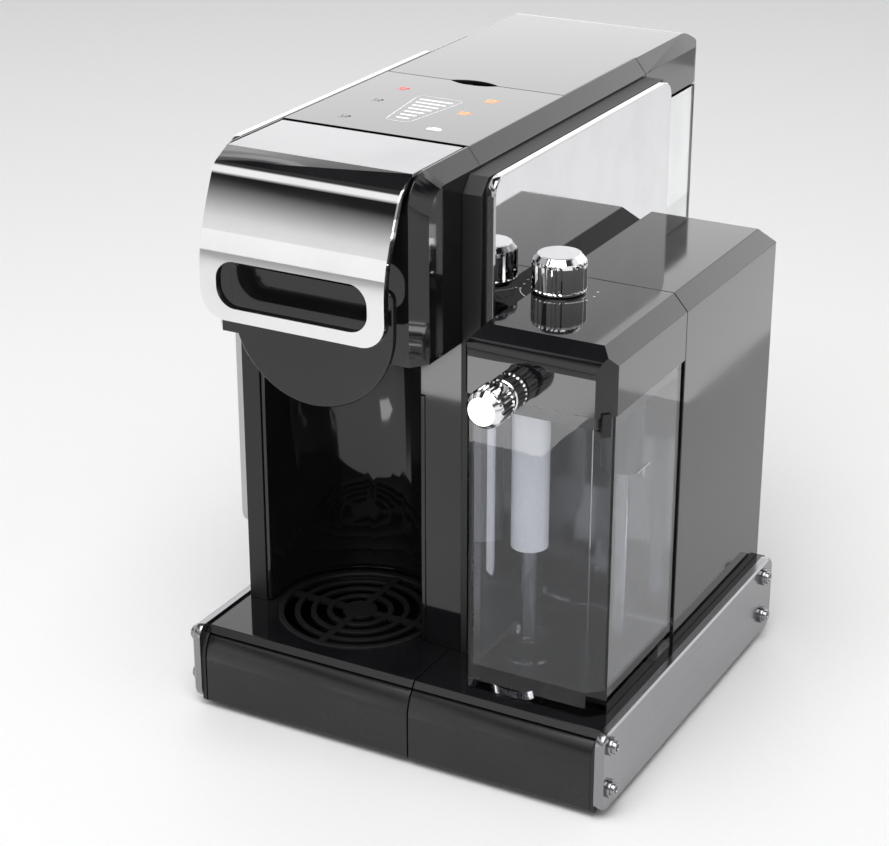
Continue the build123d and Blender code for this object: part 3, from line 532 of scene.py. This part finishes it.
CORNER, TAPER = 4 * MM, 12
bm = bmesh.new()
corners = (arc(*at(3.5, 27), CORNER, -90, -TAPER) + arc(*at(9.5, 69), CORNER, -TAPER, 90)
           + arc(*at(-9.5, 69), CORNER, 90, 180 + TAPER)
           + arc(*at(-3.5, 27), CORNER, 180 + TAPER, 270))
stroke(bm, corners + corners[:1], 0.45 * MM, panel_top)
finish_piece("level_frame", bm, "glass_black", "machine", material=WHITE)
print("level bars done")

# %% [markdown]
# The drinks are chosen with small icons: cups in thin lines, and a cloud of milk foam made of
# overlapping round lobes. The lobes differ in height by a few thousandths of a millimetre, so
# that two faces never lie in the same plane.

# %% Cups and cloud
def cup(bm, x, y, size):
    """A cup seen from the side: bowl, handle and saucer, drawn in lines."""
    half = [(1, 1), (0.8, 0), (0.4, -0.5)]
    sides = [(-dx, dy) for dx, dy in half] + half[::-1] + [(-1, 1)]
    bowl = [at(x + dx * size, y + dy * size) for dx, dy in sides]
    stroke(bm, bowl, 0.7 * MM, panel_top)
    stroke(bm, arc(*at(x + 1.1 * size, y + 0.4 * size), 0.45 * size * MM, -100, 100, 6),
           0.6 * MM, panel_top)
    bar(bm, at(x - 1.2 * size, y - 0.95 * size), at(x + 1.2 * size, y - 0.95 * size),
        0.6 * MM, panel_top)


def cloud(bm, x, y, size):
    """Foam: a row of lobes on a flat base."""
    lobes = [(-1.1, 0.1, 0.6), (-0.35, 0.55, 0.75), (0.5, 0.5, 0.7), (1.15, 0.05, 0.55)]
    for dx, dy, radius in lobes:
        outline(bm, arc(*at(x + dx * size, y + dy * size), radius * size * MM, 0, 345, 15),
                panel_top + dx * 0.003 * MM)
    bar(bm, at(x - 1.1 * size, y - 0.25 * size), at(x + 1.1 * size, y - 0.25 * size),
        0.9 * size * MM, panel_top)


for name, ink, marks in (
        ("cups_amber", AMBER, ((cup, 24, 52, 2.3), (cup, 25.5, 80, 2.5))),
        ("drink_red", RED, ((cup, -29, 81, 2.2),)),
        ("cups_faint", FAINT, ((cup, -28.5, 18, 2.0), (cup, -29.5, 54, 2.0))),
        ("foam_cloud", WHITE, ((cloud, 25, 18, 2.6),))):
    bm = bmesh.new()
    for draw, x, y, size in marks:
        draw(bm, x, y, size)
    finish_piece(name, bm, "glass_black", "machine", material=ink)
print("icons done")

# %% [markdown]
# The milk lid carries dots on a ring around its dial, for the settings, and two short arcs that
# show the turn. They are printed in light grey on the black lid.

# %% Print on the milk lid
# The grey print shines faintly by itself though it is no lamp: a painted glow on the print's own
# grey.
PRINT_GREY_GLOW = lamp_or_painted_glow("print_grey_painted_glow", (0.55, 0.55, 0.57), 0.05)
lid_face = milk_top + LIFT
ring_r = (dial_r + 5.5) * MM
bm = bmesh.new()
for turn in (160, 180, 200, 340, 0, 20):
    x, y = arc(dial_x, dial_y, ring_r, turn, turn, 1)[0]
    outline(bm, arc(x, y, 0.7 * MM, 0, 330, 11), lid_face)
stroke(bm, arc(dial_x, dial_y, ring_r, 205, 235, 6), 0.5 * MM, lid_face)
stroke(bm, arc(dial_x, dial_y, ring_r, -55, -25, 6), 0.5 * MM, lid_face)
finish_piece("dial_marks", bm, "gloss_black", "jug_lid", material=PRINT_GREY_GLOW)
print("lid print done")

# %% [markdown]
# The jug has a line on its right face for the highest milk level. A mark on an upright face is
# drawn flat at the origin, stood up and then carried to its place.

# %% Level mark of the jug
LEVEL = 0.124
low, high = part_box("milk_jug")
bm = bmesh.new()
bar(bm, (-7 * MM, 0), (7 * MM, 0), 0.6 * MM, 0)
bar(bm, (0, -0.8 * MM), (0, -4.5 * MM), 0.6 * MM, 0)
for side in (-1, 1):
    bar(bm, (side * 1.6 * MM, -2.6 * MM), (0, -0.8 * MM), 0.5 * MM, 0)
stand = Matrix(((0, 0, 1), (1, 0, 0), (0, 1, 0)))
bmesh.ops.transform(bm, verts=bm.verts, matrix=stand.to_4x4())
bmesh.ops.translate(bm, verts=bm.verts,
                    vec=(high[0] + LIFT, (low[1] + high[1]) / 2, low[2] + LEVEL))
# The jug mark takes the same grey print, with its faint painted glow.
finish_piece("jug_level_mark", bm, "jug_clear", "jug", material=PRINT_GREY_GLOW)
print("jug mark done")

# %% [markdown]
# The studio is a pale floor that fades into a pale surround. The surround is a ramp over height:
# light around the horizon, and with dark belts above it, which a curved chrome face shows as dark
# bands. The upright faces mirror the floor.

# %% Floor and surround
bm = bmesh.new()
bmesh.ops.create_grid(bm, x_segments=1, y_segments=1, size=6.0)
floor_mesh = bpy.data.meshes.new("floor")
bm.to_mesh(floor_mesh)
bm.free()
floor = bpy.data.objects.new("floor", floor_mesh)
bpy.context.scene.collection.objects.link(floor)
material, shader, s = new_finish("floor_paper")
paper = noise(s, 240.0, 3.0)
wire(shader, Base_Color=tint(s, (0.80, 0.80, 0.80), (0.83, 0.83, 0.83), paper),
     Roughness=0.55 + 0.1 * paper)
floor.data.materials.append(material)

world = bpy.data.worlds.new("studio")
bpy.context.scene.world = world
world.use_nodes = True
tree = world.node_tree
s = Shade(tree)
height = s.add("SeparateXYZ", None, {"Vector": s.add("TexCoord", out=0)}, out=2)
BELTS = ((0.0, 0.9), (0.60, 1.05), (0.642, 0.75), (0.676, 0.3), (0.70, 0.015), (0.74, 0.015),
         (0.77, 0.85), (0.785, 1.0), (0.866, 1.0), (0.888, 0.04), (1.0, 0.04))
sky = s.add("ValToRGB", {"stops": BELTS}, {"Fac": 0.5 + 0.5 * height})
tree.links.new(sky.socket, tree.nodes["Background"].inputs["Color"])
tree.nodes["Background"].inputs["Strength"].default_value = 1.0
print("floor and surround ready")

# %% [markdown]
# Soft boxes stand where the glossy faces look for them. A level face seen from above mirrors what
# stands behind the machine, so the panel and the lids get a wide box there. Only the top box
# lights the room. The others are there to be mirrored, and none is seen directly or through the
# clear tanks.

# %% Soft boxes
def soft_box(name, place, aim, size, power, lights_room=False):
    """A rectangular light at a place, aimed at a point."""
    lamp_data = bpy.data.lights.new(name, "AREA")
    lamp_data.shape, lamp_data.size, lamp_data.size_y = "RECTANGLE", *size
    lamp_data.energy = power
    light = bpy.data.objects.new(name, lamp_data)
    light.location = place
    light.rotation_euler = (Vector(aim) - Vector(place)).to_track_quat("-Z", "Y").to_euler()
    bpy.context.scene.collection.objects.link(light)
    light.visible_camera, light.visible_diffuse = False, lights_room
    light.visible_transmission = False


centre = (0, 0, 0.16)
soft_box("rear_box", (-1.0, 1.78, 1.17), centre, (3.4, 1.8), 25)
soft_box("side_box", (1.08, 1.78, 1.17), centre, (1.5, 1.3), 8.5)
soft_box("floor_card", (0.52, 0.78, 0.015), (0.52, 0.78, 1.0), (0.5, 0.9), 1.0)
soft_box("top_box", (0.2, -0.8, 2.2), centre, (1.8, 1.8), 52, lights_room=True)
soft_box("front_card", (-0.17, -0.64, 0.01), (-0.17, -0.64, 1.0), (0.15, 0.26), 0.5)
print("soft boxes ready")

# %% [markdown]
# The camera stands well back with a long lens, in front of the machine's right side and above it,
# so that upright edges stay nearly parallel. The plain Standard view keeps the pale floor white.

# %% Camera
camera_data = bpy.data.cameras.new("camera")
camera_data.sensor_width, camera_data.lens = 36, 90.97
camera = bpy.data.objects.new("camera", camera_data)
ahead = Vector((-0.4387, 0.8067, -0.3959))
camera.location = (0.51945, -1.06342, 0.64205)
camera.rotation_euler = ahead.to_track_quat("-Z", "Y").to_euler()
bpy.context.scene.collection.objects.link(camera)
bpy.context.scene.camera = camera
bpy.context.scene.view_settings.view_transform = "Standard"
print("camera ready")
